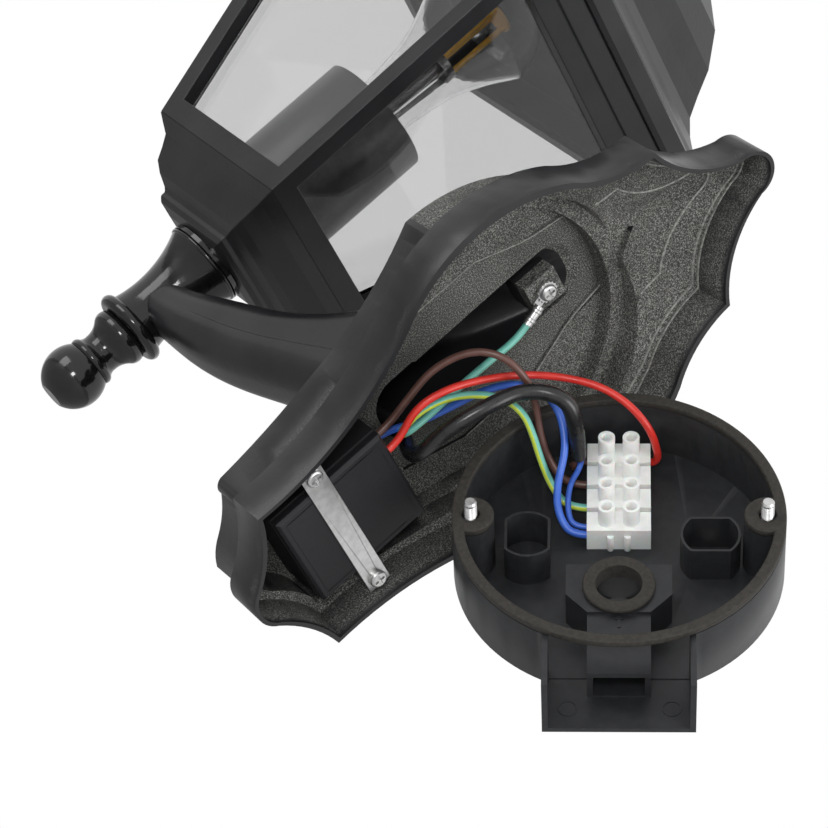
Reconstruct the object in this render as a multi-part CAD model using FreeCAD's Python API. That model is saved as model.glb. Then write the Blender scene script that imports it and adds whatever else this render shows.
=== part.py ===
import FreeCAD
import Part
import math
import os

# Outdoor wall light with its wall box taken off and hanging behind it on the wires.
# Millimetres, +Z up, wall plane at Y = 0, lantern towards -Y, origin at the wall plate centre.

# Wall plate: half outline from the top tip down to the foot tip, on the wall plane
plate_tip = 108.0
lobe_r = 8.2
shoulder_x = 36.0
shoulder_z = 73.5
side_x = 48.7
side_z = 46.0
waist_x = 50.0
waist_z = -22.0
foot_x = 31.0
foot_z = -91.0
heel_x = 8.0
heel_z = -103.5
plate_foot = -107.5
top_hollow = 4.6
shoulder_hollow = 3.0
side_bulge = 11.7
waist_hollow = 5.8
foot_hollow = 1.9
heel_round = 1.06
inset_z_share = 0.55
plate_wall = 2.6
plate_edge_y = -14.6
plate_draft = 0.8
rim_foot = 5.8
rim_foot_y = -11.8
floor_1 = 8.2
floor_1_y = -13.0
floor_2 = 27.0
floor_2_y = -15.6
floor_3 = 44.0
floor_3_y = -19.0

# Arched panel raised on the front of the plate, and the pocket behind it
arch_r = 53.0
arch_z = 3.0
arch_ledge = 5.0
arch_ledge_y = -21.0
keystone_half = 8.0
keystone_top = 64.0
panel_knee_x = 31.0
panel_knee_z = -48.0
panel_foot_x = 24.4
panel_foot_z = -87.3
panel_foot_round = 2.4
panel_tongue_x = 9.5
panel_tongue_z = -95.4
panel_tip_z = -101.0
panel_waist_bow = 0.8
panel_floor_y = -26.0
panel_draft = 1.5
floor_draft = 0.5
leaf_depth = 1.0
leaf_edge = (
    (17.5, 58.0),
    (20.0, 31.0),
    (26.7, 15.0),
    (27.0, -15.0),
    (20.0, -38.0),
)

# Arm from the panel out to the post
reach = 139.3
arm_wall = 2.4
arm_station_shares = (0.194, 0.273, 0.359, 0.503, 0.639, 0.782, 0.948)
arm_stations = (
    (7.5, 47.5, 14.0, 0.8),
    (-8.5, 31.5, 14.0, 0.8),
    (-20.4, 23.4, 13.6, 0.8),
    (-33.0, 16.3, 13.0, 0.8),
    (-40.9, 13.6, 12.4, 0.6),
    (-45.8, 11.6, 11.4, 0.3),
    (-49.1, 8.1, 9.0, 0.1),
)
arm_corner_share = 0.8
arm_ledge_share = 0.7
arm_hollow_share = 0.87
arm_end_share = 0.86
cable_hole_r = 3.6
cable_hole_z = -47.0

# Post, its bore and the finial under it
post_top = -27.6
post_seam = -64.2
cup_r = 15.0
cup_lip = 1.5
cup_bead = 0.6
cup_bead_h = 1.6
post_neck_bow = 2.5
collar_r = 13.2
collar_h = 4.6
collar_neck = 10.9
post_bore_r = 7.5
post_bore_low = -54.0
post_thread_low = -35.0
finial_top_r = 9.2
finial_shoulder_r = 10.2
finial_shoulder_low = -69.4
finial_neck_r = 7.1
finial_neck_z = -74.9
finial_ring_r = 8.9
finial_ring_top = -77.6
finial_ring_low = -80.4
finial_ring_bow = 0.6
finial_neck_bow = 0.4
finial_shoulder_bow = 0.6
ball_r = 10.7
ball_z = -86.5
ball_cap_r = 4.6
stud_r = 3.0
stud_h = 8.0

# Lantern base, square in plan: half width and height of each edge from the bottom up
base_steps = (
    (13.5, -27.6),
    (17.4, -26.6),
    (18.6, -25.2),
    (18.6, -23.4),
    (19.7, -22.2),
    (22.8, -20.4),
    (25.4, -18.0),
    (27.0, -14.0),
    (28.8, -10.2),
    (31.4, -8.2),
    (33.6, -6.4),
)
base_wall = 2.6
base_floor_z = -16.0

# Glazed cage, tapering wider upwards, with a band round its top
cage_low_z = -6.4
cage_low_half = 33.4
cage_top_z = 108.0
cage_top_half = 57.4
frame_depth = 5.0
window_low_z = 1.2
window_head = 14.5
corner_post = 6.6
band_h = 7.4
band_out = 1.3
pane_t = 2.0
pane_lap = 2.6

# Roof: each edge as its step out from the cage top and its height above it, then the shell thickness
roof_edges = (
    (2.8, 0.0),
    (4.0, 1.4),
    (4.0, 7.4),
    (1.8, 8.8),
    (0.2, 10.6),
    (-4.4, 14.6),
    (-7.8, 19.0),
    (-10.4, 26.0),
    (-13.4, 35.0),
    (-19.4, 46.0),
    (-29.4, 56.0),
    (-44.4, 64.0),
)
roof_wall = 3.0
roof_hole_r = 4.0
crown_r = 11.0
crown_h = 5.0
crown_neck_r = 5.0
crown_neck_h = 12.0
crown_ball_r = 9.5
crown_ball_h = 26.0
crown_tip_h = 56.0
crown_tip_r = 1.5
crown_ring_bow = 1.4
crown_neck_bow = 1.2
crown_ball_bow = 2.4
crown_tip_bow = 2.2

# Lamp parts on the lantern axis
sleeve_r = 20.5
sleeve_wall = 1.2
sleeve_top = 47.0
tube_r = 5.0
tube_bore_r = 3.4
tube_top = -8.0
nut_flats = 14.0
nut_h = 4.0
holder_r = 18.6
holder_top = 40.0
holder_floor_z = -4.0
holder_boss_r = 8.0
holder_bore_r = 13.4
cap_r = 13.0
cap_low_z = 12.0
cap_top_z = 38.0
cap_tip_r = 5.0
cap_tip_h = 4.0
glass_t = 0.9
glass_neck_r = 9.7
glass_neck_z = 52.0
glass_belly_r = 22.0
glass_belly_z = 92.0
glass_flare_z = 68.0
glass_flare_r = 11.6
glass_neck_bow = 0.25
glass_belly_bow = 1.3
filament_r = 1.0
filament_ring_r = 5.5
filament_disc_r = 7.4
filament_low_z = 76.0
filament_top_z = 100.0
filament_count = 4
stem_r = 3.2
stem_top_z = 73.0

# Control module in the plate's pocket and the strap over it
module_half_x = 18.8
module_top_z = -44.2
module_low_z = -86.5
module_y = -5.0
module_edge = 1.0
module_lid_y = -9.0
module_lid_groove = 0.6
strap_z = -69.0
strap_half_z = 4.0
strap_t = 0.8
strap_screw_x = 25.0
strap_end = 3.4
strap_boss_r = 3.6
screw_r = 1.5
screw_head_r = 2.9
screw_head_h = 1.9
screw_depth = 6.0
recess_w = 0.9
recess_l = 3.6
recess_d = 0.9

# Earth point at the upper end of the mouth
earth_z = 30.0
earth_half = 6.0
earth_face_y = -23.5
earth_back_y = -38.0
ring_r = 3.5
ring_t = 0.8
barrel_r = 1.7
barrel_start = 5.0
barrel_end = 12.0
barrel_lean = 20.0

# Wall box: pose, then its own sizes, with its back on local Z = 0 and its top towards local Y
box_at = (-40.1, 46.0, -15.4)
box_turn = (119.1, -46.2, 66.5)
box_r = 50.0
box_wall = 2.8
box_floor = 2.0
box_rim = 21.5
gasket_top = 24.0
gasket_w = 3.4
lug_in = 5.7
lug_r = 7.0
box_stud_r = 2.0
box_stud_top = 29.5
box_stud_sink = 9.0
box_stud_clear = 0.6
slot_x = 27.5
slot_long = 8.3
slot_short = 6.1
slot_wall = 0.8
slot_top = 15.0
slot_floor = 2.0
slot_hole_r = 2.6
duct_half = 15.8
duct_neck = 9.4
duct_back_y = -12.4
duct_shoulder_y = -24.0
duct_front_y = -30.9
duct_out = 2.0
duct_top = 15.2
duct_roof = 3.8
duct_wall = 1.8
duct_step = 1.2
duct_lip = 1.4
duct_lip_h = 2.0
grommet_y = -21.0
grommet_r = 10.5
grommet_neck_r = 8.6
grommet_bore_r = 7.0
grommet_h = 1.5
spout_half = 22.5
spout_wall = 1.8
spout_out = 14.0
spout_step_in = 4.6
spout_step = 0.4

# Terminal block in the box
pole_pitch = 9.4
pole_count = 4
pole_w = 7.6
pole_half_x = 9.7
pole_first_y = 9.0
pole_h = 8.5
spine_drop = 1.5
nib_x = 2.6
nib_r = 1.0
nib_drop = 2.5
spine_half_x = 3.0
tower_x = 3.75
tower_r = 2.6
tower_bore_r = 1.75
tower_h = 7.0
clamp_r = 2.9
clamp_half_x = 8.7
clamp_z = 4.0
clamp_screw_r = 1.7
clamp_screw_h = 2.0
clamp_slot_w = 0.6
clamp_slot_d = 0.8

# Wires
lead_r = 1.2
cable_r = 2.5
core_r = 0.9
cable_sway = 0.4
core_apart = 2.0
sheath_end_x = -12.4
sheath_end_y = 31.5
sheath_end_z = 15.0
bend_share = 0.45


def vec(x, y, z):
    return FreeCAD.Vector(x, y, z)


def trace(steps, at):
    """Edges through the steps; a third value bows the edge that ends there to its left."""
    edges = []
    for a, b in zip(steps, steps[1:]):
        start = at(a[0], a[1])
        end = at(b[0], b[1])
        bow = b[2] if len(b) > 2 else 0
        if bow:
            dx = b[0] - a[0]
            dy = b[1] - a[1]
            run = math.hypot(dx, dy)
            mid = at((a[0] + b[0]) / 2 - dy / run * bow, (a[1] + b[1]) / 2 + dx / run * bow)
            edges.append(Part.Arc(start, mid, end).toShape())
        else:
            edges.append(Part.makeLine(start, end))
    return edges


def closed(edges):
    return Part.Wire(Part.__sortEdges__(edges))


def rod(radius, low, high, x=0.0, y=0.0):
    return Part.makeCylinder(radius, high - low, vec(x, y, low))


def block(x0, x1, y0, y1, z0, z1):
    return Part.makeBox(x1 - x0, y1 - y0, z1 - z0, vec(x0, y0, z0))


def lathe(steps, x=0.0, y=0.0):
    """Solid of revolution about a vertical axis; the steps run round the section as radius, height."""
    wire = closed(trace(list(steps) + [steps[0][:2]], lambda r, z: vec(x + r, y, z)))
    return Part.Face(wire).revolve(vec(x, y, 0), vec(0, 0, 1), 360)


def quarter(radius):
    """Bow of a quarter circle."""
    return radius * (1 - math.cos(math.pi / 4))


def joined(shapes):
    first = shapes[0]
    return first.fuse(shapes[1:]).removeSplitter() if len(shapes) > 1 else first


def square(half, z):
    corners = ((-half, -half), (half, -half), (half, half), (-half, half), (-half, -half))
    return Part.makePolygon([vec(x, y - reach, z) for x, y in corners])


def square_stack(steps):
    return Part.makeLoft([square(half, z) for half, z in steps], True, True)


# Wall plate, panel and arm: one hollow casting
def mirrored(steps, level, scale_x=1.0, scale_z=1.0):
    right = trace(steps, lambda x, z: vec(x * scale_x, level, z * scale_z))
    left = trace(steps, lambda x, z: vec(-x * scale_x, level, z * scale_z))
    return closed(right + left)


def plate_wire(inset, level):
    steps = (
        (0, plate_tip),
        (lobe_r, plate_tip - lobe_r, quarter(lobe_r)),
        (shoulder_x, shoulder_z, -top_hollow),
        (side_x, side_z, -shoulder_hollow),
        (waist_x, waist_z, side_bulge),
        (foot_x, foot_z, -waist_hollow),
        (heel_x, heel_z, -foot_hollow),
        (0, plate_foot, heel_round),
    )
    half = (side_x + waist_x) / 2 + side_bulge
    return mirrored(steps, level, 1 - inset / half, 1 - inset * inset_z_share / plate_tip)


def panel_wire(arch_grow, foot_grow, level):
    wide = arch_r + arch_grow
    steps = (
        (0, arch_z + wide),
        (wide, arch_z, quarter(wide)),
        (panel_knee_x + foot_grow, panel_knee_z, -waist_hollow / 2),
        (panel_foot_x + foot_grow, panel_foot_z + panel_foot_round - foot_grow, -panel_waist_bow),
        (panel_foot_x - panel_foot_round, panel_foot_z - foot_grow, panel_foot_round / 2),
        (panel_tongue_x, panel_tongue_z - foot_grow, -panel_waist_bow),
        (0, panel_tip_z - foot_grow, panel_waist_bow),
    )
    return mirrored(steps, level)


def arm_wire(level, middle, half_h, half_w, ledge):
    """Rounded section of the arm, narrower above the ledge along each side."""
    corner = arm_corner_share * min(half_h, half_w)
    bow = quarter(corner)
    high_w = half_w - ledge
    flat_z = half_h - corner
    ledge_z = -arm_ledge_share * flat_z
    steps = (
        (corner - high_w, half_h),
        (high_w - corner, half_h),
        (high_w, flat_z, bow),
        (high_w, ledge_z + ledge),
        (half_w, ledge_z),
        (half_w, -flat_z),
        (half_w - corner, -half_h, bow),
        (corner - half_w, -half_h),
        (-half_w, -flat_z, bow),
        (-half_w, ledge_z),
        (-high_w, ledge_z + ledge),
        (-high_w, flat_z),
        (corner - high_w, half_h, bow),
    )
    return Part.Wire(trace(steps, lambda x, z: vec(x, level, z + middle)))


def arm_solid(shrink, first_y, last_share):
    middle, half_h, half_w, ledge = arm_stations[0]
    rings = [arm_wire(first_y, middle, half_h - shrink, half_w - shrink, ledge)]
    for share, (middle, half_h, half_w, ledge) in zip(arm_station_shares[1:], arm_stations[1:]):
        if share < last_share:
            rings.append(arm_wire(-reach * share, middle, half_h - shrink, half_w - shrink, ledge))
    middle, half_h, half_w, ledge = arm_stations[-1] if last_share >= 1 else arm_stations[-2]
    grow = arm_end_share if last_share < 1 else 1.0
    end = ((half_h - shrink) * grow, (half_w - shrink) * grow)
    rings.append(arm_wire(-reach * last_share, middle, *end, ledge))
    return Part.makeLoft(rings, True, False)


def post_envelope():
    steps = (
        (0, post_seam),
        (collar_neck, post_seam),
        (collar_neck, post_seam + collar_h, -(collar_r - collar_neck)),
        (cup_r - cup_bead, post_top - cup_lip - cup_bead_h, post_neck_bow),
        (cup_r - cup_bead, post_top - cup_lip, -cup_bead),
        (cup_r, post_top - cup_lip),
        (cup_r, post_top),
        (0, post_top),
    )
    return lathe(steps, 0, -reach)


def upright_slab(corners, low_y, high_y):
    """Plate of an outline given as X, Z corners, between two distances from the wall."""
    outline = [vec(x, low_y, z) for x, z in corners]
    return Part.Face(Part.makePolygon(outline + outline[:1])).extrude(vec(0, high_y - low_y, 0))


def pocket_leaf():
    """Leaf sunk in the pocket's floor round the mouth of the arm."""
    right = list(leaf_edge)
    left = [(-x, z) for x, z in reversed(leaf_edge)]
    low = panel_floor_y - leaf_depth
    floor = Part.Face(panel_wire(-arch_ledge - floor_draft, 0, low)).extrude(vec(0, leaf_depth, 0))
    return upright_slab(right + left, low, panel_floor_y).common(floor)


def wall_bracket():
    panel_front = panel_floor_y - plate_wall
    floors = ((floor_1, floor_1_y), (floor_2, floor_2_y), (floor_3, floor_3_y))
    front = [plate_wire(inset - plate_wall, level - plate_wall) for inset, level in floors]
    back = [plate_wire(inset, level) for inset, level in floors]
    outer = Part.makeLoft([plate_wire(0, 0), plate_wire(plate_draft, plate_edge_y)] + front, True, True)
    inner = Part.makeLoft([plate_wire(plate_wall, 0), plate_wire(rim_foot, rim_foot_y)] + back, True, True)
    grow = plate_wall + panel_draft
    panel_out = Part.makeLoft(
        [panel_wire(grow, plate_wall, floor_1_y - plate_wall), panel_wire(plate_wall, plate_wall, panel_front)],
        True,
        True,
    )
    panel_in = Part.makeLoft(
        [panel_wire(panel_draft, 0, floor_1_y), panel_wire(0, 0, arch_ledge_y)], True, True
    )
    panel_deep = Part.makeLoft(
        [panel_wire(-arch_ledge, 0, arch_ledge_y), panel_wire(-arch_ledge - floor_draft, 0, panel_floor_y)],
        True,
        True,
    )
    keystone = upright_slab(
        ((-keystone_half, arch_z + arch_r - panel_draft), (keystone_half, arch_z + arch_r - panel_draft),
         (0, keystone_top)),
        arch_ledge_y,
        floor_2_y,
    )
    arm_out = arm_solid(0, panel_floor_y - plate_wall / 2, 1.0)
    arm_in = arm_solid(arm_wall, panel_floor_y + plate_wall, arm_hollow_share)
    outside = outer.fuse([panel_out, arm_out])
    casting = outside.cut([inner, panel_in, panel_deep, keystone, arm_in, pocket_leaf()])
    boss = block(-earth_half, earth_half, earth_back_y, earth_face_y, earth_z - earth_half, earth_z + earth_half)
    fill = [boss.common(outside)]
    for side in (-1, 1):
        post = Part.makeCylinder(
            strap_boss_r, module_y - panel_floor_y, vec(side * strap_screw_x, panel_floor_y, strap_z), vec(0, 1, 0)
        )
        fill.append(post)
    casting = casting.fuse(fill)
    holes = [post_envelope()]
    holes.append(
        Part.makeCylinder(cable_hole_r, reach * (1 - arm_hollow_share) + plate_wall,
                          vec(0, -reach, cable_hole_z), vec(0, 1, 0))
    )
    holes.append(Part.makeCylinder(screw_r, screw_depth, vec(0, earth_face_y - screw_depth, earth_z), vec(0, 1, 0)))
    for side in (-1, 1):
        foot = vec(side * strap_screw_x, module_y - screw_depth, strap_z)
        holes.append(Part.makeCylinder(screw_r, screw_depth, foot, vec(0, 1, 0)))
    return casting.cut(holes).removeSplitter()


def post():
    body = post_envelope()
    cuts = [
        rod(tube_r, post_thread_low, post_top, 0, -reach),
        rod(post_bore_r, post_bore_low, post_thread_low, 0, -reach),
        rod(stud_r, post_seam, post_seam + stud_h, 0, -reach),
        Part.makeCylinder(cable_hole_r, collar_r, vec(0, -reach, cable_hole_z), vec(0, 1, 0)),
    ]
    return body.cut(cuts)


def ball_finial():
    cap_z = ball_z - math.sqrt(ball_r ** 2 - ball_cap_r ** 2)
    meet_r = math.sqrt(ball_r ** 2 - (finial_ring_low - ball_z) ** 2)
    chord = math.hypot(meet_r - ball_cap_r, finial_ring_low - cap_z)
    belly = ball_r - math.sqrt(ball_r ** 2 - chord ** 2 / 4)
    steps = (
        (0, cap_z),
        (ball_cap_r, cap_z),
        (meet_r, finial_ring_low, -belly),
        (finial_ring_r - finial_ring_bow, finial_ring_low),
        (finial_ring_r - finial_ring_bow, finial_ring_top, -finial_ring_bow),
        (finial_neck_r, finial_neck_z, finial_neck_bow),
        (finial_top_r, finial_shoulder_low, finial_shoulder_bow),
        (finial_top_r, post_seam, finial_top_r - finial_shoulder_r),
        (stud_r, post_seam),
        (stud_r, post_seam + stud_h),
        (0, post_seam + stud_h),
    )
    return lathe(steps, 0, -reach)


# Lantern
window_top_z = cage_top_z - window_head
roof_steps = [(cage_top_half + out, cage_top_z + up) for out, up in roof_edges]


def lantern_base():
    body = square_stack(base_steps)
    hollow = [(base_floor_half(base_floor_z) - base_wall, base_floor_z)]
    for half, z in base_steps:
        if z > base_floor_z:
            hollow.append((half - base_wall, z))
    body = body.cut(square_stack(hollow))
    return body.cut(rod(tube_r, base_steps[0][1], base_floor_z, 0, -reach))


def base_floor_half(z):
    for (half_a, z_a), (half_b, z_b) in zip(base_steps, base_steps[1:]):
        if z_a <= z <= z_b:
            return half_a + (half_b - half_a) * (z - z_a) / (z_b - z_a)
    return base_steps[-1][0]


def cage_half(z):
    slope = (cage_top_half - cage_low_half) / (cage_top_z - cage_low_z)
    return cage_low_half + slope * (z - cage_low_z)


def cage_stack(shrink, low, top):
    return square_stack(((cage_half(low) - shrink, low), (cage_half(top) - shrink, top)))


def window(margin, low, top):
    """Upright slab with sloping sides, centred on the lantern, through the cage along Y."""
    a = cage_half(low) - margin
    b = cage_half(top) - margin
    deep = cage_top_half + band_out + pane_t
    corners = ((-a, low), (a, low), (b, top), (-b, top), (-a, low))
    face = Part.Face(Part.makePolygon([vec(x, -reach - deep, z) for x, z in corners]))
    return face.extrude(vec(0, 2 * deep, 0))


def about_axis(shape, degrees):
    turned = shape.copy()
    turned.rotate(vec(0, -reach, 0), vec(0, 0, 1), degrees)
    return turned


def cage():
    body = cage_stack(0, cage_low_z, cage_top_z)
    band = cage_stack(-band_out, cage_top_z - band_h, cage_top_z)
    body = body.fuse(band)
    opening = window(corner_post, window_low_z, window_top_z)
    cuts = [cage_stack(frame_depth, cage_low_z, cage_top_z), opening, about_axis(opening, 90)]
    return body.cut(cuts).removeSplitter()


def inside_face(x, y):
    """Sheet of pane thickness against one inner face of the cage; x, y point into the lantern."""
    room = cage_stack(frame_depth, window_low_z - pane_lap, window_top_z + pane_lap)
    moved = room.copy()
    moved.translate(vec(x * pane_t, y * pane_t, 0))
    return room.cut(moved)


def panes():
    front = inside_face(0, 1)
    back = inside_face(0, -1)
    left = inside_face(1, 0).cut([front, back])
    right = inside_face(-1, 0).cut([front, back])
    return front, back, left, right


def roof():
    body = square_stack(roof_steps)
    hollow = [(roof_steps[0][0] - roof_wall, roof_steps[0][1])]
    hollow += [(half - roof_wall, z - roof_wall) for half, z in roof_steps[4:]]
    top = roof_steps[-1][1]
    return body.cut([square_stack(hollow), rod(roof_hole_r, top - roof_wall, top, 0, -reach)])


def roof_finial():
    seat = roof_steps[-1][1]
    steps = (
        (0, seat - roof_wall),
        (roof_hole_r, seat - roof_wall),
        (roof_hole_r, seat),
        (crown_r, seat),
        (crown_r, seat + crown_h, -crown_ring_bow),
        (crown_neck_r, seat + crown_neck_h, crown_neck_bow),
        (crown_ball_r, seat + crown_ball_h, -crown_ball_bow),
        (crown_tip_r, seat + crown_tip_h, crown_tip_bow),
        (0, seat + crown_tip_h),
    )
    return lathe(steps, 0, -reach)


# Lamp
def lamp_sleeve():
    return rod(sleeve_r, base_floor_z, sleeve_top, 0, -reach).cut(
        rod(sleeve_r - sleeve_wall, base_floor_z, sleeve_top, 0, -reach)
    )


def threaded_tube():
    return rod(tube_r, post_thread_low, tube_top, 0, -reach).cut(
        rod(tube_bore_r, post_thread_low, tube_top, 0, -reach)
    )


def tube_nut():
    across = nut_flats / math.sqrt(3)
    corners = [vec(across * math.cos(math.radians(a)), across * math.sin(math.radians(a)) - reach, base_floor_z)
               for a in range(0, 361, 60)]
    nut = Part.Face(Part.makePolygon(corners)).extrude(vec(0, 0, nut_h))
    return nut.cut(rod(tube_r, base_floor_z, base_floor_z + nut_h, 0, -reach))


def lampholder():
    boss_low = base_floor_z + nut_h
    steps = (
        (tube_r, boss_low),
        (holder_boss_r, boss_low),
        (holder_boss_r, tube_top),
        (holder_r, tube_top),
        (holder_r, holder_top),
        (holder_bore_r, holder_top),
        (holder_bore_r, holder_floor_z),
        (0, holder_floor_z),
        (0, tube_top),
        (tube_r, tube_top),
    )
    body = lathe(steps, 0, -reach)
    contact = rod(cap_tip_r, holder_floor_z, cap_low_z - cap_tip_h, 0, -reach)
    collar = rod(holder_bore_r, cap_low_z, cap_low_z + cap_tip_h, 0, -reach)
    collar = collar.cut(rod(cap_r, cap_low_z, cap_low_z + cap_tip_h, 0, -reach))
    return body.fuse([contact, collar]).removeSplitter()


def bulb_cap():
    steps = (
        (0, cap_low_z - cap_tip_h),
        (cap_tip_r, cap_low_z - cap_tip_h),
        (cap_r, cap_low_z),
        (cap_r, cap_top_z),
        (0, cap_top_z),
    )
    return lathe(steps, 0, -reach)


def glass_outline(shrink):
    top = glass_belly_z + glass_belly_r
    belly = glass_belly_r - shrink
    return [
        (0, cap_top_z),
        (glass_neck_r - shrink, cap_top_z),
        (glass_neck_r - shrink, glass_neck_z),
        (glass_flare_r - shrink, glass_flare_z, glass_neck_bow),
        (belly, glass_belly_z, glass_belly_bow),
        (0, top - shrink, -quarter(belly)),
    ]


def bulb_glass():
    return lathe(glass_outline(0), 0, -reach).cut(lathe(glass_outline(glass_t), 0, -reach))


def bulb_filament():
    parts = [rod(stem_r, cap_top_z, stem_top_z, 0, -reach)]
    parts.append(rod(filament_disc_r, stem_top_z, filament_low_z, 0, -reach))
    for n in range(filament_count):
        a = 2 * math.pi * (n + 0.5) / filament_count
        x = filament_ring_r * math.cos(a)
        y = filament_ring_r * math.sin(a) - reach
        parts.append(rod(filament_r, filament_low_z, filament_top_z, x, y))
    parts.append(rod(filament_disc_r, filament_top_z, filament_top_z + filament_r, 0, -reach))
    return joined(parts)


# Control module, strap and earth point
def control_module():
    body = block(-module_half_x, module_half_x, panel_floor_y, module_y, module_low_z, module_top_z)
    rim = [e for e in body.Edges if all(abs(v.Point.y - module_y) < 1e-6 for v in e.Vertexes)]
    body = body.makeChamfer(module_edge, rim)
    g = module_lid_groove
    ring = block(-module_half_x, module_half_x, module_lid_y, module_lid_y + g, module_low_z, module_top_z)
    core = block(-module_half_x + g, module_half_x - g, module_lid_y, module_lid_y + g, module_low_z + g,
                 module_top_z - g)
    return body.cut(ring.cut(core))


def module_strap():
    end = strap_screw_x + strap_end
    bar = block(-end, end, module_y, module_y + strap_t, strap_z - strap_half_z, strap_z + strap_half_z)
    holes = [
        Part.makeCylinder(screw_r, strap_t, vec(side * strap_screw_x, module_y, strap_z), vec(0, 1, 0))
        for side in (-1, 1)
    ]
    return bar.cut(holes)


def pan_screw(x, seat_y, z):
    head = Part.makeCylinder(screw_head_r, screw_head_h, vec(x, seat_y, z), vec(0, 1, 0))
    rim = [e for e in head.Edges if abs(e.BoundBox.YMin - seat_y - screw_head_h) < 1e-6
           and abs(e.BoundBox.YMax - seat_y - screw_head_h) < 1e-6]
    head = head.makeFillet(screw_head_h / 2, rim)
    top = seat_y + screw_head_h
    w = recess_w / 2
    half = recess_l / 2
    cross = [
        block(x - half, x + half, top - recess_d, top, z - w, z + w),
        block(x - w, x + w, top - recess_d, top, z - half, z + half),
    ]
    return head.cut(cross)


def strap_screws():
    parts = []
    for side in (-1, 1):
        x = side * strap_screw_x
        parts.append(pan_screw(x, module_y + strap_t, strap_z))
        parts.append(Part.makeCylinder(screw_r, screw_depth + strap_t, vec(x, module_y - screw_depth, strap_z),
                                       vec(0, 1, 0)))
    return Part.makeCompound([joined(parts[:2]), joined(parts[2:])])


def earth_screw():
    shank = Part.makeCylinder(screw_r, screw_depth + ring_t, vec(0, earth_face_y - screw_depth, earth_z),
                              vec(0, 1, 0))
    return joined([pan_screw(0, earth_face_y + ring_t, earth_z), shank])


def barrel_axis():
    lean = math.radians(barrel_lean)
    return vec(-math.sin(lean), 0, -math.cos(lean))


def barrel_mouth():
    return vec(0, earth_face_y + barrel_r, earth_z) + barrel_axis() * barrel_end


def earth_ring_terminal():
    centre = vec(0, earth_face_y, earth_z)
    ring = Part.makeCylinder(ring_r, ring_t, centre, vec(0, 1, 0))
    tongue = block(-barrel_r, barrel_r, earth_face_y, earth_face_y + ring_t, earth_z - barrel_start - ring_t, earth_z)
    tongue.rotate(centre, vec(0, 1, 0), barrel_lean)
    ring = ring.fuse(tongue)
    ring = ring.cut(Part.makeCylinder(screw_r, ring_t, centre, vec(0, 1, 0)))
    start = vec(0, earth_face_y + barrel_r, earth_z) + barrel_axis() * barrel_start
    barrel = Part.makeCylinder(barrel_r, barrel_end - barrel_start, start, barrel_axis())
    return ring.fuse(barrel).removeSplitter()


# Wall box and what it carries, drawn upright and then set at its pose
box_place = FreeCAD.Placement(vec(*box_at), FreeCAD.Rotation(*box_turn))
lug_x = box_r - lug_in
duct_mouth_y = -box_r - duct_out
spout_end_y = -box_r - spout_out
spout_step_y = spout_step_in - box_r


def in_box(shape):
    placed = shape.copy()
    placed.Placement = box_place.multiply(placed.Placement)
    return placed


def box_point(x, y, z):
    return box_place.multVec(vec(x, y, z))


def slot_tube(side, grow, low, high):
    tall = side < 0
    tube = rod(slot_long + grow, low, high, side * slot_x, 0)
    half = slot_short + grow
    reach_out = slot_long + grow
    x = side * slot_x
    if tall:
        return tube.common(block(x - half, x + half, -reach_out, reach_out, low, high))
    return tube.common(block(x - reach_out, x + reach_out, -half, half, low, high))


def duct_prism(grow, low, high):
    wide = duct_half + grow
    neck = duct_neck + grow
    corners = (
        (-wide, duct_back_y + grow),
        (wide, duct_back_y + grow),
        (wide, duct_shoulder_y),
        (neck, duct_front_y),
        (neck, duct_mouth_y),
        (-neck, duct_mouth_y),
        (-neck, duct_front_y),
        (-wide, duct_shoulder_y),
        (-wide, duct_back_y + grow),
    )
    return Part.Face(Part.makePolygon([vec(x, y, low) for x, y in corners])).extrude(vec(0, 0, high - low))


def lug_rods(radius, low, high):
    return [rod(radius, low, high, side * lug_x, 0) for side in (-1, 1)]


def wall_box():
    shell = rod(box_r, 0, box_rim)
    spout = block(-spout_half, spout_half, spout_end_y, 0, 0, box_rim)
    body = shell.fuse(spout)
    gap = spout_half - spout_wall
    inside = rod(box_r - box_wall, box_floor, box_rim)
    channel = block(-gap, gap, spout_end_y, 0, box_floor, box_rim)
    step = block(-gap, gap, spout_end_y, spout_step_y, box_floor - spout_step, box_floor)
    body = body.cut([inside, channel, step])
    neck_top = duct_top - duct_step
    added = [lug.common(shell) for lug in lug_rods(lug_r, 0, box_rim)]
    added += [slot_tube(side, slot_wall, 0, slot_top) for side in (-1, 1)]
    added.append(duct_prism(0, 0, duct_top))
    added.append(block(-duct_neck, duct_neck, duct_mouth_y - duct_lip, duct_mouth_y, neck_top - duct_lip_h, neck_top))
    body = body.fuse(added)
    cuts = lug_rods(box_stud_r, box_rim - box_stud_sink, box_rim)
    cuts += [slot_tube(side, 0, slot_floor, slot_top) for side in (-1, 1)]
    cuts += [rod(slot_hole_r, 0, slot_floor, side * slot_x, 0) for side in (-1, 1)]
    cuts.append(duct_prism(-duct_wall, box_floor, duct_top - duct_roof))
    cuts.append(block(-duct_neck, duct_neck, duct_mouth_y - duct_lip, duct_front_y, neck_top, duct_top))
    cuts.append(rod(grommet_bore_r, 0, box_floor, 0, grommet_y))
    cuts.append(rod(grommet_neck_r, duct_top - duct_roof, duct_top, 0, grommet_y))
    return body.cut(cuts).removeSplitter()


def rim_gasket():
    outside = rod(box_r, box_rim, gasket_top)
    ring = outside.cut(rod(box_r - gasket_w, box_rim, gasket_top))
    ears = [ear.common(outside) for ear in lug_rods(lug_r, box_rim, gasket_top)]
    return ring.fuse(ears).cut(lug_rods(box_stud_r + box_stud_clear, box_rim, gasket_top)).removeSplitter()


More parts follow.
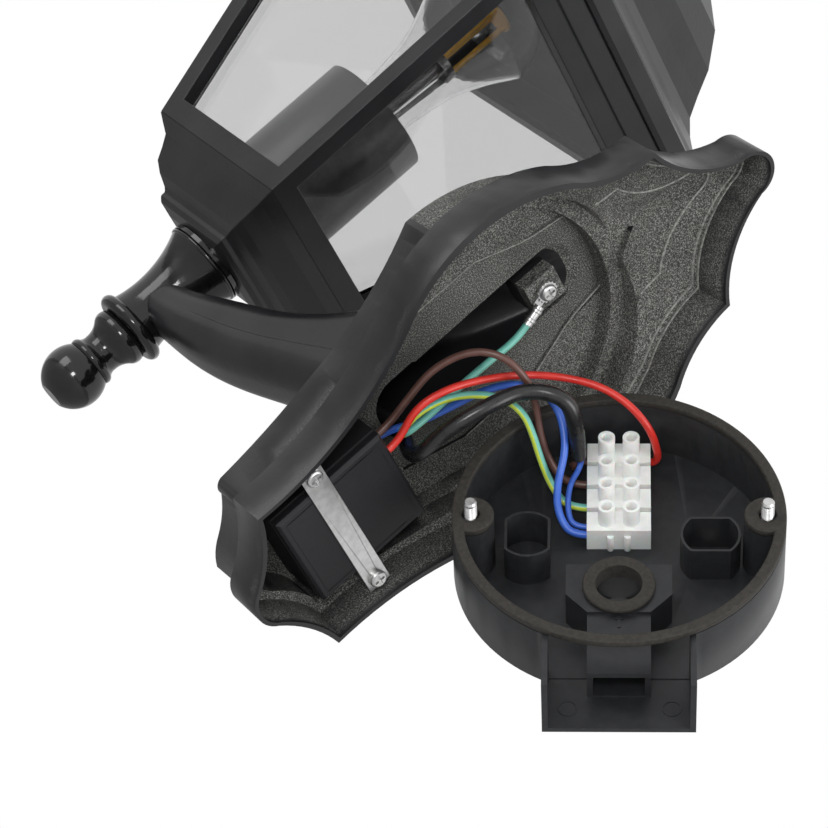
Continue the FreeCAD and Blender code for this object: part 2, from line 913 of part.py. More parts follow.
def cable_grommet():
    top = duct_top + grommet_h
    low = duct_top - duct_roof
    steps = (
        (grommet_bore_r, low),
        (grommet_neck_r, low),
        (grommet_neck_r, duct_top),
        (grommet_r, duct_top),
        (grommet_r, top, -grommet_h / 4),
        (grommet_bore_r, top),
    )
    return lathe(steps, 0, grommet_y)


def box_studs():
    return Part.makeCompound(lug_rods(box_stud_r, box_rim - box_stud_sink, box_stud_top))


def pole_y(n):
    """Middle of a pole counted from the top of the block."""
    return pole_first_y + pole_pitch * (pole_count - 1 - n)


def along_x(radius, half, y, z):
    return Part.makeCylinder(radius, 2 * half, vec(-half, y, z), vec(1, 0, 0))


def terminal_block():
    top = box_floor + pole_h
    low_y = pole_y(pole_count - 1) - pole_w / 2
    parts = [block(-spine_half_x, spine_half_x, low_y, pole_y(0) + pole_w / 2, box_floor, top - spine_drop)]
    parts += [rod(nib_r, box_floor, top - nib_drop, side * nib_x, low_y) for side in (-1, 1)]
    cuts = []
    for n in range(pole_count):
        y = pole_y(n)
        parts.append(block(-pole_half_x, pole_half_x, y - pole_w / 2, y + pole_w / 2, box_floor, top))
        cuts.append(along_x(clamp_r, pole_half_x, y, box_floor + clamp_z))
        for side in (-1, 1):
            parts.append(rod(tower_r, box_floor + clamp_z, top + tower_h, side * tower_x, y))
            cuts.append(rod(tower_bore_r, box_floor + clamp_z, top + tower_h, side * tower_x, y))
    return joined(parts).cut(cuts).removeSplitter()


def terminal_clamps():
    return Part.makeCompound(
        [along_x(clamp_r, clamp_half_x, pole_y(n), box_floor + clamp_z) for n in range(pole_count)]
    )


def terminal_screws():
    low = box_floor + clamp_z + clamp_r
    high = box_floor + pole_h + clamp_screw_h
    parts = []
    for n in range(pole_count):
        for side in (-1, 1):
            x = side * tower_x
            y = pole_y(n)
            screw = rod(clamp_screw_r, low, high, x, y)
            slot = block(x - clamp_screw_r, x + clamp_screw_r, y - clamp_slot_w / 2, y + clamp_slot_w / 2,
                         high - clamp_slot_d, high)
            parts.append(screw.cut(slot))
    return Part.makeCompound(parts)


# Wires: straight runs joined by tangent arcs
def tube(name, points, radius):
    edges = []
    radii = []
    here = points[0]
    for before, corner, after in zip(points, points[1:], points[2:]):
        back = (before - corner).normalize()
        ahead = (after - corner).normalize()
        half_turn = (math.pi - back.getAngle(ahead)) / 2
        step = bend_share * min((before - corner).Length, (after - corner).Length)
        bend = step / math.tan(half_turn)
        start = corner + back * step
        end = corner + ahead * step
        middle = (back + ahead).normalize()
        mid = corner + middle * (bend / math.cos(half_turn) - bend)
        edges.append(Part.makeLine(here, start))
        edges.append(Part.Arc(start, mid, end).toShape())
        radii.append(bend)
        here = end
    edges.append(Part.makeLine(here, points[-1]))
    path = Part.Wire(edges)
    ring = Part.Wire(Part.makeCircle(radius, points[0], points[1] - points[0]))
    solid = path.makePipeShell([ring], True, False)
    share = solid.Volume / (math.pi * radius ** 2 * path.Length)
    tightest = min(radii)
    print(f"{name}: length {path.Length:.1f}, tightest bend {tightest:.1f}, volume share {share:.4f}")
    print("   bends", " ".join(f"{r:.1f}" for r in radii))
    return solid


wire_z = box_floor + clamp_z


def black_cable():
    points = [
        vec(cable_sway, -reach, tube_top),
        vec(cable_sway, -reach, (tube_top + cable_hole_z) / 2),
        vec(0, -reach, cable_hole_z),
        vec(0, -reach + 23, cable_hole_z),
        vec(-0.5, -92, -43),
        vec(-3, -70, -39.5),
        vec(-5.5, -49, -35),
        vec(-8, -29, -30),
        vec(-1.5, -8, -40),
        vec(9.5, 2.5, -30),
        vec(10.5, 7, -16.5),
        box_point(-28, 36.5, 40),
        box_point(-15.5, 34.5, 38),
        box_point(sheath_end_x, sheath_end_y, 27),
        box_point(sheath_end_x, sheath_end_y, sheath_end_z),
    ]
    return tube("black_cable", points, cable_r)


def core_brown():
    x = sheath_end_x - core_apart / 2
    points = [
        box_point(x, sheath_end_y, sheath_end_z),
        box_point(x, sheath_end_y, 9),
        box_point(-15, pole_y(0), wire_z),
        box_point(-clamp_half_x, pole_y(0), wire_z),
    ]
    return tube("core_brown", points, core_r)


def core_blue():
    x = sheath_end_x + core_apart / 2
    y = pole_y(pole_count - 1) + 1.6
    points = [
        box_point(x, sheath_end_y, sheath_end_z),
        box_point(x, sheath_end_y, 11),
        box_point(-15.2, 23.5, 10.6),
        box_point(-15.6, 14.5, 8.4),
        box_point(-13.6, y, wire_z),
        box_point(-clamp_half_x, y, wire_z),
    ]
    return tube("core_blue", points, core_r)


def red_lead():
    points = [
        vec(10, -7, module_top_z),
        vec(10, -7, -39.5),
        vec(18.5, -4, -31),
        vec(18, -1.5, -19.5),
        vec(10, -1, -6.8),
        vec(1.5, -0.5, 3.5),
        box_point(-17.5, 48, 33),
        box_point(-6.5, 45.5, 32),
        box_point(1.5, 42, 29),
        box_point(7.2, 38, 25),
        box_point(10.4, 36.4, 19),
        box_point(11.6, 36.4, 13),
        box_point(12.1, 36.9, 8.4),
        box_point(10.7, pole_y(0), wire_z),
        box_point(clamp_half_x, pole_y(0), wire_z),
    ]
    return tube("red_lead", points, lead_r)


def brown_lead():
    points = [
        vec(9, -16, module_top_z),
        vec(9, -16, -38),
        vec(13, -14.5, -29.5),
        vec(17.5, -13, -17.5),
        vec(18.5, -7, -6),
        vec(15, 0.5, 0),
        vec(6, 6, 1.3),
        box_point(-25, 38.5, 29.5),
        box_point(-24, 34.5, 21),
        box_point(-21, 31, 12),
        box_point(-15.5, pole_y(1), wire_z),
        box_point(-clamp_half_x, pole_y(1), wire_z),
    ]
    return tube("brown_lead", points, lead_r)


def blue_lead():
    y = pole_y(pole_count - 1) - 1.5
    points = [
        vec(4, -20.5, module_top_z),
        vec(4, -20.5, -39),
        vec(-5, -22, -26.8),
        vec(-4, -17, -17.7),
        vec(-1.5, -11, -8.6),
        vec(-0.5, -4, -1),
        box_point(-24, 45, 31),
        box_point(-18.5, 40, 27.5),
        box_point(-16.6, 34.5, 23.5),
        box_point(-16.4, 29, 19),
        box_point(-18.4, 22.5, 14.5),
        box_point(-18.9, 16, 11.8),
        box_point(-17.6, 11, 9),
        box_point(-14.2, y, wire_z),
        box_point(-clamp_half_x, y, wire_z),
    ]
    return tube("blue_lead", points, lead_r)


def earth_lead():
    start = barrel_mouth()
    points = [
        start,
        start + barrel_axis() * 5,
        vec(-4.5, -21, 4),
        vec(-3, -20, -9),
        vec(-0.5, -17, -24.5),
        vec(1.5, -15.5, -35),
        vec(10, -9.5, -37.5),
        vec(14.5, -6, -28),
        vec(10, -4.5, -16.6),
        box_point(-36, 40.5, 32.5),
        box_point(-29, 36.5, 29.5),
        box_point(-26, 32.5, 23.5),
        box_point(-24, 29, 17),
        box_point(-20.5, 24, 9.5),
        box_point(-15.5, pole_y(2), wire_z),
        box_point(-clamp_half_x, pole_y(2), wire_z),
    ]
    return tube("earth_lead", points, lead_r)


os.makedirs("parts", exist_ok=True)
pane_front, pane_back, pane_left, pane_right = panes()
nodes = {
    "wall_bracket": wall_bracket(),
    "post": post(),
    "ball_finial": ball_finial(),
    "lantern_base": lantern_base(),
    "cage": cage(),
    "pane_front": pane_front,
    "pane_back": pane_back,
    "pane_left": pane_left,
    "pane_right": pane_right,
    "roof": roof(),
    "roof_finial": roof_finial(),
    "lamp_sleeve": lamp_sleeve(),
    "lampholder": lampholder(),
    "bulb_cap": bulb_cap(),
    "bulb_glass": bulb_glass(),
    "bulb_filament": bulb_filament(),
    "threaded_tube": threaded_tube(),
    "tube_nut": tube_nut(),
    "control_module": control_module(),
    "module_strap": module_strap(),
    "strap_screws": strap_screws(),
    "earth_screw": earth_screw(),
    "earth_ring_terminal": earth_ring_terminal(),
    "wall_box": in_box(wall_box()),
    "rim_gasket": in_box(rim_gasket()),
    "cable_grommet": in_box(cable_grommet()),
    "box_studs": in_box(box_studs()),
    "terminal_block": in_box(terminal_block()),
    "terminal_clamps": in_box(terminal_clamps()),
    "terminal_screws": in_box(terminal_screws()),
    "black_cable": black_cable(),
    "core_brown": core_brown(),
    "core_blue": core_blue(),
    "red_lead": red_lead(),
    "brown_lead": brown_lead(),
    "blue_lead": blue_lead(),
    "earth_lead": earth_lead(),
}
for name, shape in nodes.items():
    shape.exportStep(f"parts/{name}.step")
    box = shape.optimalBoundingBox()
    print(f"{name}: valid {shape.isValid()}, solids {len(shape.Solids)}, volume {shape.Volume:.0f}, "
          f"size {box.XLength:.1f} x {box.YLength:.1f} x {box.ZLength:.1f}")
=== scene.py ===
import math

import bmesh
import bpy
from mathutils import Matrix, Vector


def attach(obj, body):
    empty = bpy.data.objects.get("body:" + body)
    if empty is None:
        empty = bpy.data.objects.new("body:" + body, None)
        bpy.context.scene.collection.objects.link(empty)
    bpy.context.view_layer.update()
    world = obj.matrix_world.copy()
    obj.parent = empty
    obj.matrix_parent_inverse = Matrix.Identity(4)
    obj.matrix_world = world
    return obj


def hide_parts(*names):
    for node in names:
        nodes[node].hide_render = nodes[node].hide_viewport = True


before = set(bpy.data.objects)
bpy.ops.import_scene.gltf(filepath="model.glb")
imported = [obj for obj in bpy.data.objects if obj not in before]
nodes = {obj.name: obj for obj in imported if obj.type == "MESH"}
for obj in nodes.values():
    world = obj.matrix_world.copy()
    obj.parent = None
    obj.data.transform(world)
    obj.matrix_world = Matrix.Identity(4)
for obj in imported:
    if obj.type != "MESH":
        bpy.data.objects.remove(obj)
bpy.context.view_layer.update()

scene = bpy.context.scene
MM = 0.001
SIDES = (-1, 1)

# Camera: an image of 828 pixels a side, seen from behind and below the wall plate
IMAGE_PIXELS = 828
FOCAL_PIXELS = 4000
SENSOR_MM = 36.0
CLIP_START = 0.01
CAMERA_AT = Vector((0.843978, 0.838862, -0.267725))
CAMERA_RIGHT = Vector((-0.3722, 0.5699, 0.7326))
CAMERA_UP = Vector((0.6243, -0.4303, 0.6520))
CAMERA_BACK = CAMERA_RIGHT.cross(CAMERA_UP)

# Studio, in metres and watts
FLOOR_Z = -0.30
FLOOR_HALF = 3
FILL_STRENGTH = 0.45
WHITE_STRENGTH = 1.0
AIM = Vector((0, -0.03, 0))
# Lamps: steps to the right, up and back from the aim, then width and power
LAMPS = {
    "front": (-0.05, 0.2, 1.35, 0.26, 5),
    "left": (-0.6, 0.9, 0.5, 0.6, 4),
    "right": (1.0, -0.2, 0.7, 0.7, 7),
}

# Places and sizes repeated from the solids, in millimetres
REACH = 139.3
BOX_AT = Vector((-40.1, 46.0, -15.4))
BOX_TURN = (119.1, -46.2, 66.5)
TUBE_TOP = -8.0
CABLE_HOLE_Z = -47.0
MODULE_TOP_Z = -44.2
MODULE_LOW_Z = -86.5
MODULE_HALF_X = 18.8
MODULE_Y = -5.0
WIRE_Z = 6.0
CLAMP_X = 8.7
POLES_Y = (37.2, 27.8, 18.4, 9.0)
SHEATH_END = (-12.4, 31.5)
SHEATH_END_Z = 15.0
CORES_APART = 2.0
CABLE_D = 5.0
LEAD_D = 2.4
CORE_D = 1.8
LUG_X = 44.3
STUD_R = 2.0
STUD_LOW = 12.5
STUD_TOP = 29.5
BOX_FLOOR = 2.0
SPOUT_FLOOR = 1.6
NECK_TOP = 14.0
EARTH_AT = Vector((0, -23.5, 30.0))
RING_T = 0.8
BARREL_AT = Vector((0, -21.8, 30.0))
BARREL_LEAN = math.radians(20)
BARREL_LENGTH = 12.0
BARREL_LEAD = 5.0
FILAMENT_LOW = 76.0
ARCH_Z = 3.0
PLATE_HALF = 61.05
PLATE_TIP = 108.0

yaw, pitch, roll = (math.radians(a) for a in BOX_TURN)
BOX_ROTATION = (
    Matrix.Rotation(yaw, 3, "Z") @ Matrix.Rotation(pitch, 3, "Y") @ Matrix.Rotation(roll, 3, "X")
)
BOX_MATRIX = Matrix.Translation(BOX_AT * MM) @ BOX_ROTATION.to_4x4()
LAMP_MM = Matrix.Scale(MM, 4)
BOX_MM = BOX_MATRIX @ LAMP_MM
TO_WALL = Matrix.Rotation(math.radians(-90), 4, "X")


def lamp(x, y, z):
    """A point of the lamp, from millimetres."""
    return Vector((x, y, z)) * MM


def box(x, y, z):
    """A point of the wiring box, from millimetres in the box's own upright frame."""
    return BOX_MATRIX @ (Vector((x, y, z)) * MM)


def linear(code):
    """Linear colour of an sRGB hex value."""
    parts = [int(code[i : i + 2], 16) / 255 for i in (1, 3, 5)]
    return [c / 12.92 if c <= 0.04045 else ((c + 0.055) / 1.055) ** 2.4 for c in parts] + [1.0]


def connect(tree, node, **links):
    """Sets a node's inputs, by name or as i0, i1 by number, each to a value or to another node's socket."""
    for name, value in links.items():
        by_number = name[0] == "i" and name[1:].isdigit()
        socket = node.inputs[int(name[1:]) if by_number else name.replace("_", " ")]
        if isinstance(value, bpy.types.NodeSocket):
            tree.links.new(value, socket)
        else:
            socket.default_value = value


def add(tree, kind, settings=None, **links):
    """Adds a node with its own options and its inputs."""
    made = tree.nodes.new(kind)
    for name, value in (settings or {}).items():
        setattr(made, name, value)
    connect(tree, made, **links)
    return made


def new_material(name):
    """An empty material with its tree, its shader and its Object coordinates."""
    material = bpy.data.materials.new(name)
    material.use_nodes = True
    tree = material.node_tree
    shader = tree.nodes["Principled BSDF"]
    coords = add(tree, "ShaderNodeTexCoord").outputs["Object"]
    return material, tree, shader, coords


def noise(tree, coords, grain_mm, detail, roughness=0.5):
    """Cloudy pattern with grains of a size in millimetres."""
    scale = 1 / (grain_mm * MM)
    made = add(tree, "ShaderNodeTexNoise", Vector=coords, Scale=scale, Detail=detail, Roughness=roughness)
    return made.outputs["Fac"]


def ramp(tree, factor, stops):
    """Colour ramp with (place, hex colour) stops."""
    made = add(tree, "ShaderNodeValToRGB", Fac=factor)
    elements = made.color_ramp.elements
    while len(elements) < len(stops):
        elements.new(0.5)
    for element, (place, code) in zip(elements, stops):
        element.position = place
        element.color = linear(code)
    return made.outputs["Color"]


def maths(tree, operation, first, second=0.0):
    """Result of one step of arithmetic on values or sockets."""
    return add(tree, "ShaderNodeMath", {"operation": operation}, i0=first, i1=second).outputs[0]


def spread(tree, factor, middle, share):
    """A value that wanders with a pattern by a share of its middle either way."""
    low = middle * (1 - share)
    high = middle * (1 + share)
    return add(tree, "ShaderNodeMapRange", Value=factor, To_Min=low, To_Max=high).outputs[0]


def blend(tree, factor, under, over, kind="MIX"):
    """Colour that goes from one to another by a factor."""
    settings = {"data_type": "RGBA", "blend_type": kind}
    return add(tree, "ShaderNodeMix", settings, i0=factor, i6=under, i7=over).outputs[2]


def raised(tree, height, strength, depth_mm):
    """Normal of a surface that a pattern raises."""
    return add(tree, "ShaderNodeBump", Height=height, Strength=strength, Distance=depth_mm * MM).outputs[0]


# Sand grit inside the casting, in millimetres: radius and lower end of the arch's wall that has it,
# levels between which it comes in below the rim, and the level of the arm where it ends
GRIT_RADIUS = 59.4
GRIT_LOW = 5.0
GRIT_FADE = (-0.8, -3.0)
GRIT_DEEPEST = -28.5


def grit_mask(tree, coords):
    """Where grit shows: faces turned to the wall and the wall of the arch, between the rim and the arm."""
    normal = add(tree, "ShaderNodeNewGeometry").outputs["Normal"]
    towards_wall = add(tree, "ShaderNodeSeparateXYZ", Vector=normal).outputs["Y"]
    place = add(tree, "ShaderNodeSeparateXYZ", Vector=coords).outputs
    faces = add(tree, "ShaderNodeMapRange", Value=towards_wall, From_Min=0.1, From_Max=0.4).outputs[0]
    flat = add(tree, "ShaderNodeVectorMath", {"operation": "MULTIPLY"}, i0=coords, i1=(1, 0, 1)).outputs[0]
    arch_middle = lamp(0, 0, ARCH_Z)
    from_middle = add(tree, "ShaderNodeVectorMath", {"operation": "DISTANCE"}, i0=flat, i1=arch_middle)
    in_arch = maths(tree, "LESS_THAN", from_middle.outputs["Value"], GRIT_RADIUS * MM)
    upper = maths(tree, "GREATER_THAN", place["Z"], GRIT_LOW * MM)
    faces = maths(tree, "MAXIMUM", faces, maths(tree, "MULTIPLY", in_arch, upper))
    start, full = (level * MM for level in GRIT_FADE)
    below_rim = add(tree, "ShaderNodeMapRange", Value=place["Y"], From_Min=start, From_Max=full).outputs[0]
    above_arm = maths(tree, "GREATER_THAN", place["Y"], GRIT_DEEPEST * MM)
    return maths(tree, "MULTIPLY", maths(tree, "MULTIPLY", faces, below_rim), above_arm)


PEEL_SHARE = 0.12
GRIT_ROUGHNESS = 0.58


def painted_casting(name, gritty_inside):
    """Satin black paint on cast aluminium: an even soft sheen, and sand grit if it is sand-cast, whose pale
    grains are painted glints.
    """
    material, tree, shader, coords = new_material(name)
    patches = noise(tree, coords, grain_mm=18, detail=2.0)
    peel = noise(tree, coords, grain_mm=2.2, detail=1.0)
    colour = ramp(tree, patches, ((0.3, "#1b1b1d"), (0.7, "#242426")))
    height = maths(tree, "MULTIPLY", peel, PEEL_SHARE)
    rough = spread(tree, patches, middle=0.32, share=0.125)
    if gritty_inside:
        gritty = grit_mask(tree, coords)
        grit = noise(tree, coords, grain_mm=0.45, detail=3.0, roughness=0.7)
        # Tone of the grit: the pale stop is painted glints standing in for the grit's sparkle
        grit_tone_and_glints = ramp(tree, grit, ((0.37, "#212120"), (0.5, "#4d4d4b"), (0.63, "#a4a49e")))
        shade = ramp(tree, patches, ((0.3, "#c4c4c2"), (0.7, "#ffffff")))
        colour = blend(tree, gritty, colour, blend(tree, 1.0, grit_tone_and_glints, shade, "MULTIPLY"))
        rough = add(tree, "ShaderNodeMix", i0=gritty, i2=rough, i3=GRIT_ROUGHNESS).outputs[0]
        height = maths(tree, "ADD", height, maths(tree, "MULTIPLY", grit, gritty))
    normal = raised(tree, height, strength=0.7, depth_mm=0.5)
    connect(tree, shader, Base_Color=colour, Roughness=rough, Normal=normal, Specular_IOR_Level=0.36)
    return material


def black_enamel():
    """Gloss black enamel on a turned casting: deep colour, sharp highlights, slight orange peel."""
    material, tree, shader, coords = new_material("black_enamel")
    peel = noise(tree, coords, grain_mm=3, detail=2.0)
    tone = ramp(tree, peel, ((0.3, "#0f0f10"), (0.7, "#161617")))
    normal = raised(tree, peel, strength=0.15, depth_mm=0.4)
    connect(tree, shader, Base_Color=tone, Roughness=0.12, Normal=normal, Specular_IOR_Level=0.5)
    return material


MILKY_DEPTH = 2.0


def plain_surface(name, tones, grain_mm, roughness, bump_mm, metallic=0.0, specular=0.5, milky=0.0):
    """A surface whose tone and gloss wander in grains of a real size; a milky one lets light into itself."""
    material, tree, shader, coords = new_material(name)
    dark, light = tones
    grain = noise(tree, coords, grain_mm, detail=3.0, roughness=0.6)
    connect(
        tree, shader,
        Base_Color=ramp(tree, grain, ((0.35, dark), (0.65, light))),
        Roughness=spread(tree, grain, roughness, share=0.15),
        Normal=raised(tree, grain, strength=0.5, depth_mm=bump_mm),
        Metallic=metallic,
        Specular_IOR_Level=specular,
        Subsurface_Weight=milky,
        Subsurface_Scale=MILKY_DEPTH * MM,
    )
    return material


def clear_sheet(name, tint, ior):
    """Clear acrylic or glass, seen through with faint surface haze."""
    material, tree, shader, coords = new_material(name)
    haze = noise(tree, coords, grain_mm=6, detail=2.0)
    rough = spread(tree, haze, middle=0.01, share=0.5)
    connect(tree, shader, Base_Color=linear(tint), Roughness=rough, Transmission_Weight=1.0, IOR=ior)
    return material


def filament_stem():
    """A smoke-grey glass stem, dark and glossy, with yellow phosphor, bright and matt, on the filaments."""
    material, tree, shader, coords = new_material("filament_on_stem")
    height = add(tree, "ShaderNodeSeparateXYZ", Vector=coords).outputs["Z"]
    coated = maths(tree, "GREATER_THAN", height, FILAMENT_LOW * MM)
    grain = noise(tree, coords, grain_mm=1, detail=2.0)
    stem = ramp(tree, grain, ((0.3, "#2c2c2e"), (0.7, "#38383a")))
    phosphor = ramp(tree, grain, ((0.3, "#d8a020"), (0.7, "#e6b23c")))
    rough = add(tree, "ShaderNodeMapRange", Value=coated, To_Min=0.12, To_Max=0.6).outputs[0]
    connect(tree, shader, Base_Color=blend(tree, coated, stem, phosphor), Roughness=rough)
    return material


# Stripe of the earth wire, in shares of its girth: middle, outer edge and edge of the full colour
STRIPE_AT = 0.25
STRIPE_EDGE = 0.1
STRIPE_FULL = 0.08


def wire_cover(name, tones, stripe=None):
    """Smooth PVC insulation drawn through a die: clear colour and a soft gloss with slight scuffs."""
    material, tree, shader, coords = new_material(name)
    dark, light = tones
    scuff = noise(tree, coords, grain_mm=4, detail=3.0)
    rough = spread(tree, scuff, middle=0.35, share=0.2)
    tone = ramp(tree, scuff, ((0.3, dark), (0.7, light)))
    if stripe:
        around_wire = add(tree, "ShaderNodeTexCoord").outputs["UV"]
        around = add(tree, "ShaderNodeSeparateXYZ", Vector=around_wire).outputs["Y"]
        off_middle = maths(tree, "ABSOLUTE", maths(tree, "SUBTRACT", around, STRIPE_AT))
        mask = add(tree, "ShaderNodeMapRange", Value=off_middle, From_Min=STRIPE_EDGE, From_Max=STRIPE_FULL)
        tone = blend(tree, mask.outputs[0], tone, linear(stripe))
    connect(tree, shader, Base_Color=tone, Roughness=rough)
    return material


def pale_floor():
    """Matt pale paper: an even ground with a faint soft shadow."""
    material, tree, shader, _ = new_material("pale_floor")
    connect(tree, shader, Base_Color=linear("#e4e4e4"), Roughness=0.8)
    return material


# Painted sand casting of the wall bracket: satin black outside, grey grit inside whose pale grains are
# painted glints
CASTING = painted_casting("painted_sand_casting", True)
# Painted smooth casting of the lantern: satin black with a soft sheen
SMOOTH = painted_casting("painted_smooth_casting", False)
# Gloss enamel of the turned pieces: near black with sharp highlights
ENAMEL = black_enamel()
# Clear acrylic sheet: pale grey through two faces, faint haze
PANE = clear_sheet("clear_acrylic", "#e2e2e2", ior=1.45)
# Blown soda glass, thin and colourless: seen mostly by its edges
BULB = clear_sheet("bulb_glass", "#fafafa", ior=1.3)
# Satin grey paint on a drawn tube: even dark grey with a soft sheen
SLEEVE = plain_surface("sleeve_paint", ("#39393b", "#424244"), grain_mm=3, roughness=0.35, bump_mm=0.05)
# Zinc-plated steel: cool, evenly bright, faint cloudiness of the plating
ZINC = plain_surface(
    "zinc_plate", ("#bababa", "#cdcdcc"), grain_mm=2.5, roughness=0.36, bump_mm=0.02, metallic=1.0
)
# Brass of the clamps, dulled by handling: a warm yellow glint
BRASS = plain_surface(
    "clamp_brass", ("#a5823f", "#c8a45a"), grain_mm=2, roughness=0.35, bump_mm=0.02, metallic=1.0
)
# Drawn aluminium of the bulb's cap: pale and bright
CAP = plain_surface(
    "cap_aluminium", ("#b8b8b8", "#d4d4d4"), grain_mm=2, roughness=0.3, bump_mm=0.02, metallic=1.0
)
# Glass stem and coated filaments of the bulb: dark below, yellow above
FILAMENT = filament_stem()
# Fine-textured black plastic: a dull, even face
MODULE = plain_surface(
    "module_plastic", ("#17171a", "#1d1d20"), grain_mm=0.8, roughness=0.55, bump_mm=0.06, specular=0.3
)
# Moulded black ABS, satin from the tool: dark grey where it turns to the light
ABS = plain_surface(
    "black_abs", ("#232426", "#2a2b2d"), grain_mm=4, roughness=0.4, bump_mm=0.03, specular=0.34
)
# Moulded black rubber, dull with a brownish bloom
RUBBER = plain_surface(
    "black_rubber", ("#2b2926", "#3a3733"), grain_mm=1.2, roughness=0.7, bump_mm=0.08, specular=0.3
)
# Natural white nylon: milky, lets light through its thin walls
NYLON = plain_surface(
    "white_nylon", ("#f3f3f0", "#fbfbf8"), grain_mm=3, roughness=0.38, bump_mm=0.03, milky=0.3
)
# Soft black PVC of the cable's sheath, with a broad sheen
SHEATH = plain_surface("cable_sheath", ("#1c1c1d", "#272728"), grain_mm=3, roughness=0.28, bump_mm=0.04)
# Wires: coloured PVC with the gloss that the die leaves
RED = wire_cover("red_pvc", ("#c92a22", "#d6352c"))
BROWN = wire_cover("brown_pvc", ("#5a3d35", "#684841"))
BLUE = wire_cover("blue_pvc", ("#3a66cc", "#4673d8"))
EARTH = wire_cover("earth_pvc", ("#69b8a9", "#78c4b5"), stripe="#cfe04e")
# Pale broken lines along the crests of the casting: partly paint rubbed thin, partly a painted highlight
CREST_WEAR_AND_HIGHLIGHT = plain_surface("crest_wear_and_highlight", ("#62625f", "#9a9a95"), grain_mm=1.0, roughness=0.5, bump_mm=0.05)

PANES = ("pane_front", "pane_back", "pane_left", "pane_right")
FINISHES = {
    CASTING: ("wall_bracket",),
    SMOOTH: ("cage", "roof", "lantern_base"),
    ENAMEL: ("post", "ball_finial", "roof_finial"),
    PANE: PANES,
    BULB: ("bulb_glass",),
    SLEEVE: ("lamp_sleeve", "lampholder"),
    ZINC: (
        "module_strap", "strap_screws", "earth_screw", "earth_ring_terminal", "box_studs",
        "threaded_tube", "tube_nut", "terminal_screws",
    ),
    BRASS: ("terminal_clamps",),
    CAP: ("bulb_cap",),
    FILAMENT: ("bulb_filament",),
    MODULE: ("control_module",),
    ABS: ("wall_box",),
    RUBBER: ("rim_gasket", "cable_grommet"),
    NYLON: ("terminal_block",),
    BROWN: ("core_brown",),
}
for material, names in FINISHES.items():
    for name in names:
        mesh = nodes[name].data
        mesh.materials.clear()
        mesh.materials.append(material)

# Panes sit a hair clear of the frame's rebate, so that the faces show apart
PANE_CLEARANCE = 0.05
for name in PANES:
    clear = nodes[name].modifiers.new("clearance", "DISPLACE")
    clear.mid_level = 0.0
    clear.strength = -PANE_CLEARANCE * MM

# Hard edges, rounded a little as casting, moulding or deburring leaves them: width in millimetres
WELD_DISTANCE = 0.00001
HARD_EDGE = math.radians(30)
EDGE_STEPS = 2
EDGE_WIDTHS = {
    "wall_bracket": 0.6,
    "cage": 0.5,
    "roof": 0.6,
    "lantern_base": 0.4,
    "wall_box": 0.3,
    "terminal_block": 0.25,
    "control_module": 0.3,
    "module_strap": 0.15,
    "lamp_sleeve": 0.3,
    "rim_gasket": 0.5,
}
for name, width in EDGE_WIDTHS.items():
    weld = nodes[name].modifiers.new("joined", "WELD")
    weld.merge_threshold = WELD_DISTANCE
    bevel = nodes[name].modifiers.new("edges", "BEVEL")
    bevel.width = width * MM
    bevel.segments = EDGE_STEPS
    bevel.limit_method = "ANGLE"
    bevel.angle_limit = HARD_EDGE
    bevel.harden_normals = True


def put(made):
    """Sets a piece into the scene, on the lamp's one body."""
    scene.collection.objects.link(made)
    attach(made, "root")


WIRE_ROUNDNESS = 6
WIRE_STEPS = 12


def tubes(name, kind, lines, radius_mm, roundness, material):
    """Round tubes along lines of points, as one piece; a NURBS line bends smoothly, as a wire does."""
    curve = bpy.data.curves.new(name, "CURVE")
    curve.dimensions = "3D"
    curve.bevel_depth = radius_mm * MM
    curve.bevel_resolution = roundness
    curve.use_fill_caps = True
    for line in lines:
        spline = curve.splines.new(kind)
        spline.points.add(len(line) - 1)
        for place, point in zip(spline.points, line):
            place.co = (*point, 1.0)
        if kind == "NURBS":
            spline.order_u = 3
            spline.use_endpoint_u = True
            spline.resolution_u = WIRE_STEPS
    curve.materials.append(material)
    made = bpy.data.objects.new(name, curve)
    put(made)
    return made


def cord(name, points, diameter_mm, material):
    """A wire along the route of its solid, which it stands for; the solid is hidden."""
    wire = tubes(name + "_wire", "NURBS", [points], diameter_mm / 2, WIRE_ROUNDNESS, material)
    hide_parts(name)


# Black cable from the lampholder through post and arm into the box, and its cores
cord("black_cable", [
    lamp(0.4, -REACH, TUBE_TOP),
    lamp(0.4, -REACH, (TUBE_TOP + CABLE_HOLE_Z) / 2),
    lamp(0, -REACH, CABLE_HOLE_Z),
    lamp(0, -REACH + 23, CABLE_HOLE_Z),
    lamp(-0.5, -92, -43),
    lamp(-3, -70, -39.5),
    lamp(-5.5, -49, -35),
    lamp(-8, -29, -30),
    lamp(-1.5, -8, -40),
    lamp(9.5, 2.5, -30),
    lamp(10.5, 7, -16.5),
    box(-28, 36.5, 40),
    box(-15.5, 34.5, 38),
    box(*SHEATH_END, 27),
    box(*SHEATH_END, SHEATH_END_Z),
], diameter_mm=CABLE_D, material=SHEATH)
BLUE_CORE_X = SHEATH_END[0] + CORES_APART / 2
BLUE_CORE_Y = POLES_Y[3] + 1.6
cord("core_blue", [
    box(BLUE_CORE_X, SHEATH_END[1], SHEATH_END_Z),
    box(BLUE_CORE_X, SHEATH_END[1], 11),
    box(-15.2, 23.5, 10.6),
    box(-15.6, 14.5, 8.4),
    box(-13.6, BLUE_CORE_Y, WIRE_Z),
    box(-CLAMP_X, BLUE_CORE_Y, WIRE_Z),
], diameter_mm=CORE_D, material=BLUE)

